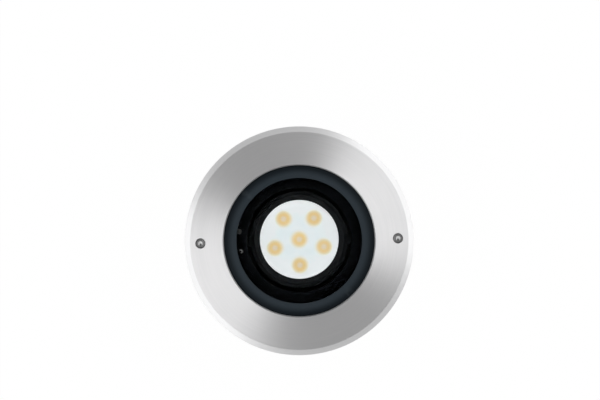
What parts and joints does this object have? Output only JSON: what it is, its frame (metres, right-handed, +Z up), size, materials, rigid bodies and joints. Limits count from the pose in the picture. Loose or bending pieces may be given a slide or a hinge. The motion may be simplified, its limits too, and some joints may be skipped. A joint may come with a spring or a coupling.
{
  "type": "in ground well light",
  "caption": "Round in-ground uplight: brushed steel trim over a buried pot, with a sealed lamp housing, clear glass and a head that pans and tilts",
  "frame": {"origin": "middle of the pot's flat underside, where it stands on the bed of the hole", "axes": "+Z up through the glass, X through the two trim screws and the tilt axis, Y through the conduit entries; the object's least extent is along Z"},
  "size_m": [0.2, 0.2, 0.165],
  "materials": {
    "pot_plastic": "moulded, fine satin grain",
    "socket_plastic": "moulded, satin",
    "brass": "turned",
    "housing_metal": "die-cast, black powder coat",
    "spring_steel": "oiled spring steel",
    "gasket_rubber": "black silicone",
    "clear_glass": "polished, tempered",
    "bezel_metal": "charcoal powder coat",
    "screw_steel": "stainless",
    "tray_steel": "zinc-plated sheet",
    "driver_plastic": "moulded",
    "terminal_plastic": "moulded",
    "gland_plastic": "black nylon",
    "seal_rubber": "black rubber",
    "trim_gasket_rubber": "black rubber",
    "trim_steel": "circular brushed stainless",
    "trim_screw_steel": "stainless",
    "pan_metal": "black coated",
    "baffle_metal": "matt black",
    "pointer_metal": "bare",
    "lock_screw_steel": "blackened",
    "head_metal": "matt black",
    "diffuser_plastic": "opal satin",
    "lens_plastic": "clear moulded",
    "led_amber": "amber phosphor",
    "board_white": "white solder mask",
    "sink_metal": "extruded"
  },
  "bodies": {
    "well": {"installation_pot": "pot_plastic", "conduit_sockets": "socket_plastic", "threaded_inserts": "brass", "lamp_housing": "housing_metal", "snap_ring": "spring_steel", "glass_gasket": "gasket_rubber", "glass_lens": "clear_glass", "glass_bezel": "bezel_metal", "bezel_screws": "screw_steel", "driver_tray": "tray_steel", "driver_case": "driver_plastic", "terminal_block": "terminal_plastic", "gland_body": "gland_plastic", "gland_seal": "seal_rubber", "gland_dome_nut": "gland_plastic", "vent_plug": "gland_plastic", "trim_gasket": "trim_gasket_rubber"},
    "trim": {"trim_ring": "trim_steel", "trim_screws": "trim_screw_steel"},
    "turntable": {"pan_ring": "pan_metal", "baffle_plate": "baffle_metal", "pan_pointer": "pointer_metal", "pan_lock_screw": "lock_screw_steel"},
    "head": {"pivot_screws": "lock_screw_steel", "optic_housing": "head_metal", "diffuser_disc": "diffuser_plastic", "lens_array": "lens_plastic", "led_chips": "led_amber", "led_board": "board_white", "heat_sink": "sink_metal"}
  },
  "joints": [
    {"name": "trim_lift", "type": "slide", "parent": "well", "child": "trim", "axis": [0, 0, 1], "range_m": [0, 0.06]},
    {"name": "pan", "type": "hinge", "parent": "well", "child": "turntable", "pos_m": [0, 0, 0.12108], "axis": [0, 0, 1], "range_deg": [-175, 175]},
    {"name": "tilt", "type": "hinge", "parent": "turntable", "child": "head", "pos_m": [0, 0, 0.13308], "axis": [1, 0, 0], "range_deg": [-15, 15]}
  ]
}
